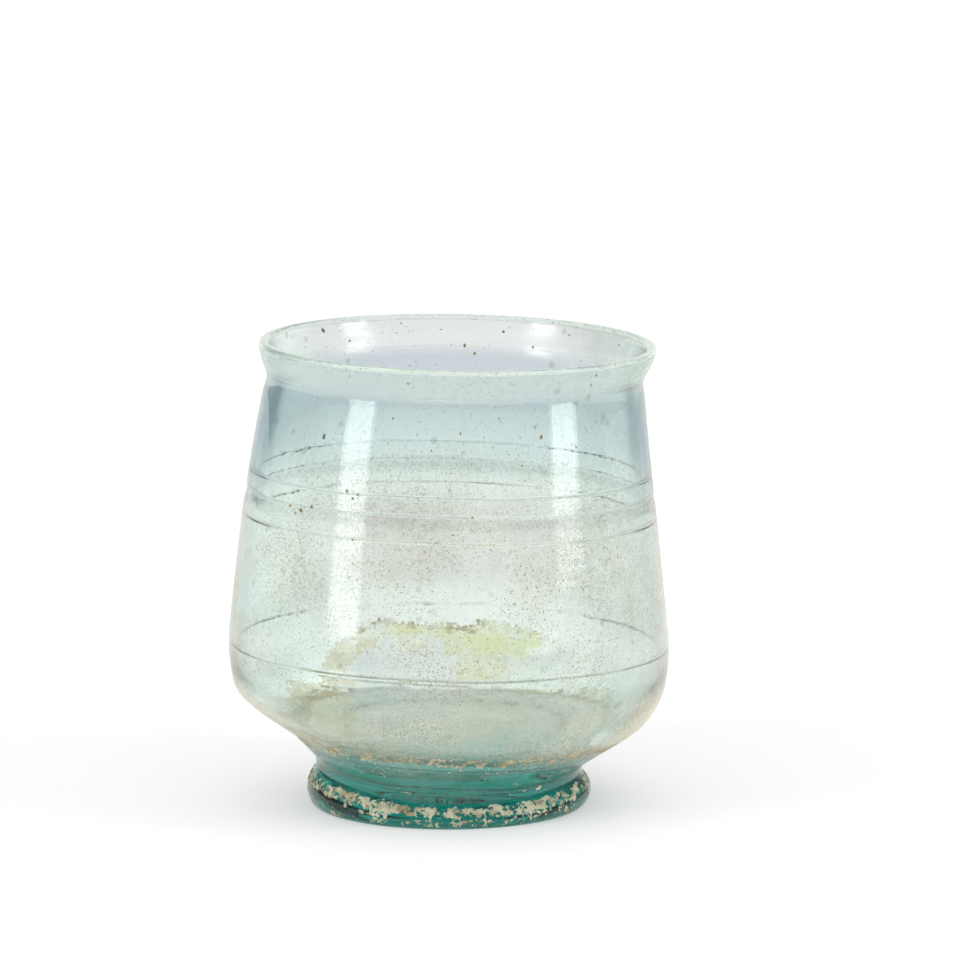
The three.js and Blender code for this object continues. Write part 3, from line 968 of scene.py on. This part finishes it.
def shaped(piece, tree, **values):
    """Runs a geometry tree on a piece and keeps the result as its plain mesh."""
    modifier = piece.modifiers.new("shape", "NODES")
    modifier.node_group = tree
    items = tree.interface.items_tree
    identifiers = {item.name: item.identifier for item in items if item.in_out == "INPUT"}
    for name, value in values.items():
        modifier[identifiers[name.replace("_", " ")]] = value
    evaluated = piece.evaluated_get(bpy.context.evaluated_depsgraph_get())
    mesh = bpy.data.meshes.new_from_object(evaluated)
    piece.modifiers.clear()
    piece.data = mesh
    return piece


TURNS = 200
FINE_TURNS = 560
WAVER = 0.3 * MM
TURNED_GLASS = turned_glass_tree()
LAID_DEPOSIT = deposit_tree()
SCATTERED_GRAINS = grain_tree()
SET_SPECKS = set_specks_tree()


def glass(name, rows, material, waver):
    return shaped(outline_object(name, rows), TURNED_GLASS, Turns=TURNS, Waver=waver, Material=material)


def deposit(name, rows, material, **values):
    """A layer on the glass, even and very thin where nothing else is said."""
    values = {"Turns": TURNS, "Waver": WAVER, "Thickness": 0.02 * MM, "Patch_Scale": 40.0, "Patchiness": 0.0,
              "Flatness": 1.0, "Back_Climb": 0.0, "Relief_Scale": 600.0, **values}
    return shaped(outline_object(name, rows), LAID_DEPOSIT, Material=material, **values)


def grains_on_body(name, material, seed, *values):
    """Scattered grains, from the values that GRAIN_UNITS names."""
    values = {label: value * unit for (label, unit), value in zip(GRAIN_UNITS.items(), values)}
    piece = new_object(name, body.data.copy())
    return shaped(piece, SCATTERED_GRAINS, Seed=seed, Material=material, **values)


body = glass("blown_body", body_outline(), blown_glass, WAVER)
foot = glass("coiled_foot", foot_outline(), coil_glass, 0.0)
film = deposit("pearly_floor_film", film_outline(), pearly_film, Turns=300, Thickness=0.25 * MM,
               Patch_Scale=110.0, Patchiness=1.3, Back_Climb=2.15, Relief_Scale=200.0, Seed=1.0)
floor_crust = deposit("floor_crust_flakes", floor_crust_outline(), pale_sediment, Turns=320, Waver=0.0,
                      Thickness=0.5 * MM, Patch_Scale=190.0, Patchiness=2.2, Seed=2.0)
haze = deposit("burial_haze_skin", haze_outline(), burial_haze, Back_Climb=-0.3, Seed=4.0)
silt = deposit("milky_floor_silt", silt_outline(), milky_silt, Seed=7.0)
foot_crust = deposit("foot_soil_crust", foot_crust_outline(), soil_crust, Turns=FINE_TURNS,
                     Thickness=0.3 * MM, Patch_Scale=480.0, Patchiness=2.2, Flatness=1.8, Back_Climb=-0.3,
                     Side_Climb=-0.25, Relief_Scale=800.0, Seed=3.0)
heel_flecks = deposit("heel_soil_flecks", heel_flecks_outline(), heel_soil, Turns=FINE_TURNS,
                      Thickness=0.2 * MM, Patch_Scale=260.0, Patchiness=2.0, Flatness=2.5, Back_Climb=-0.3,
                      Relief_Scale=900.0, Seed=6.0)
fine_specks = grains_on_body("fine_specks", brown_specks, 5, 150000.0, 40, 66, 45.0, 0.42, 0.04, 0.1, 1.0)
rim_specks = grains_on_body("rim_specks", brown_specks, 6, 6000.0, 66, 94, 70.0, 0.45, 0.06, 0.42, 1.0)
lip_flecks = grains_on_body("lip_flecks", brown_specks, 7, 40000.0, 88.6, 93.8, 110.0, 0.46, 0.05, 0.2, 0.3)
heel_grains = grains_on_body("heel_grains", pale_grains, 9, 1.6e6, 11.5, 18.5, 160.0, 0.42, 0.07, 0.24, 0.0)

# Larger brown specks: direction round the wall in degrees, height and radius in millimetres
INNER_SPECKS = ((137, 92.5, 0.55), (126.5, 90, 0.3), (87, 88.5, 0.35), (83.5, 87, 0.3), (64, 89, 0.28),
                (95, 91.5, 0.22), (108, 92.8, 0.2), (52, 92, 0.25))
OUTER_SPECKS = ((-66, 82.5, 0.3), (-64, 80.5, 0.38), (-88, 81.5, 0.26), (-140, 64.5, 0.32),
                (-135.5, 64, 0.4), (-131.5, 65, 0.42), (-120, 69, 0.42), (-116.5, 68.5, 0.4),
                (-118, 67.6, 0.28), (-47, 92.5, 0.3), (-137.5, 63.3, 0.25), (-70, 75, 0.22), (-96, 78, 0.2),
                (-108, 84, 0.22), (-77, 84.5, 0.18), (-117, 59.6, 0.26), (-84, 65, 0.3), (-52, 78, 0.2),
                (-122, 92, 0.24), (-104, 91.5, 0.22))


def speck_points(name):
    rows = [(cavity_radius(z), angle, z, size) for angle, z, size in INNER_SPECKS]
    rows += [(blown_radius(z), angle, z, size) for angle, z, size in OUTER_SPECKS]
    points = [(r * MM * math.cos(math.radians(angle)), r * MM * math.sin(math.radians(angle)), z * MM)
              for r, angle, z, _ in rows]
    return mesh_object(name, points, size=[size * MM for *_, size in rows])


larger_specks = shaped(speck_points("larger_specks"), SET_SPECKS, Waver=WAVER, Material=brown_specks)

for piece, node, slot in ((body, "vessel_body", "glass"), (foot, "foot_ring", "dark_glass"),
                          (film, "floor_film", "film"), (floor_crust, "floor_crust", "sediment"),
                          (foot_crust, "foot_crust", "soil_crust")):
    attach(piece, "root")
    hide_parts(node)
for piece, slot in ((haze, "film"), (silt, "film"), (heel_flecks, "soil_crust"), (fine_specks, "soil_crust"),
                    (rim_specks, "soil_crust"), (lip_flecks, "soil_crust"), (larger_specks, "soil_crust"),
                    (heel_grains, "soil_crust")):
    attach(piece, "root")

# Floor: white where nothing shades it, and glowing with painted light where it is seen through the foot
FLOOR_HALF = 8
FLOOR_FRONT = -0.45
FLOOR_GLOW = 0.3
FAR_GLOW = 0.15
THROUGH_GLOW = 0.35
corners = [(x * FLOOR_HALF, y, 0) for x, y in ((-1, FLOOR_FRONT), (1, FLOOR_FRONT), (1, FLOOR_HALF),
                                               (-1, FLOOR_HALF))]
studio_floor = mesh_object("studio_floor", corners, faces=[(0, 1, 2, 3)])
floor_paper, floor_tree, floor_shader, _ = material_tree("floor_paper")


def seen_directly(tree):
    """One for the rays that see a background: from the camera, or past a mirror or glass."""
    path = add(tree, "ShaderNodeLightPath")
    seen = calc(tree, "MAXIMUM", path["Is Camera Ray"], path["Is Glossy Ray"])
    return calc(tree, "MAXIMUM", seen, path["Is Transmission Ray"])


from_object = vector_calc(floor_tree, "LENGTH", object_point(floor_tree))
glow = plus(floor_tree, FLOOR_GLOW, between(floor_tree, from_object, 0.15, 1.2, 0, FAR_GLOW))
# Painted light: near the foot the floor glows for rays that come through the glass, in place of the light
# that the glass lets through onto it
through = times(floor_tree, add(floor_tree, "ShaderNodeLightPath")["Is Transmission Ray"],
                between(floor_tree, from_object, 0.07, 0.14, THROUGH_GLOW, 0))
glow = plus(floor_tree, times(floor_tree, seen_directly(floor_tree), glow), through)
set_shader(floor_tree, floor_shader, Base_Color=(0.8, 0.8, 0.8, 1), Roughness=0.9, Specular_IOR_Level=0,
           Emission_Color=(1, 1, 1, 1), Emission_Strength=glow)
studio_floor.data.materials.append(floor_paper)

# World: a white room as seen, and a softer light on what it falls on
ROOM_LIGHT = 0.8
FRONT_LIGHT = 0.25
world = bpy.data.worlds.new("white_room")
bpy.context.scene.world = world
world.use_nodes = True
sky = world.node_tree
background = sky.nodes["Background"]
background.inputs["Color"].default_value = (1, 1, 1, 1)
room_direction = parts(sky, add(sky, "ShaderNodeTexCoord")["Generated"])
reflected = between(sky, room_direction["Y"], 0.8, 0.995, FRONT_LIGHT, 1)
room_path = add(sky, "ShaderNodeLightPath")
seen_white = calc(sky, "MAXIMUM", room_path["Is Camera Ray"], room_path["Is Transmission Ray"])
seen_reflected = times(sky, room_path["Is Glossy Ray"], rest_of(sky, seen_white))
unseen = rest_of(sky, calc(sky, "MAXIMUM", seen_white, seen_reflected))
strength = weighted(sky, seen_white, (seen_reflected, reflected), (unseen, ROOM_LIGHT))
sky.links.new(strength, background.inputs["Strength"])

# Two tall soft boxes in front, left and right
BOX_POWER = 3.2
BOX_BOTTOM = 0.05
BOX_WIDTH = 0.30
BOX_HEIGHT = 0.75


def soft_box(name, x, y):
    """A lamp one metre from the object, in the direction given, that faces it."""
    light = bpy.data.lights.new(name, "AREA")
    light.shape = "RECTANGLE"
    light.size = BOX_WIDTH
    light.size_y = BOX_HEIGHT
    light.energy = BOX_POWER
    lamp = new_object(name, light)
    outward = Vector((x, y, 0)).normalized()
    lamp.location = outward + Vector((0, 0, BOX_HEIGHT / 2 + BOX_BOTTOM))
    lamp.rotation_euler = (-outward).to_track_quat("-Z", "Y").to_euler()


soft_box("left_soft_box", -0.839, -0.545)
soft_box("right_soft_box", 0.930, -0.366)

# Camera: above the table, square on, through a long lens
CAMERA_YAW = math.radians(0.354)
CAMERA_TILT = math.radians(8.627)
camera_data = bpy.data.cameras.new("camera")
camera_data.lens = 192.2
camera_data.sensor_width = 36
camera_data.clip_start = 0.05
camera_data.clip_end = 50
camera = new_object("camera", camera_data)
camera.location = (0, -1.02629, 0.22189)
forward = Vector((math.sin(CAMERA_YAW) * math.cos(CAMERA_TILT), math.cos(CAMERA_YAW) * math.cos(CAMERA_TILT),
                  -math.sin(CAMERA_TILT)))
camera.rotation_euler = forward.to_track_quat("-Z", "Y").to_euler()
bpy.context.scene.camera = camera

# Light passes many walls of glass and many layers of film
scene = bpy.context.scene
scene.cycles.max_bounces = 18
scene.cycles.transmission_bounces = 18
scene.cycles.glossy_bounces = 8
scene.cycles.diffuse_bounces = 4
scene.cycles.transparent_max_bounces = 48
scene.view_settings.view_transform = "Standard"
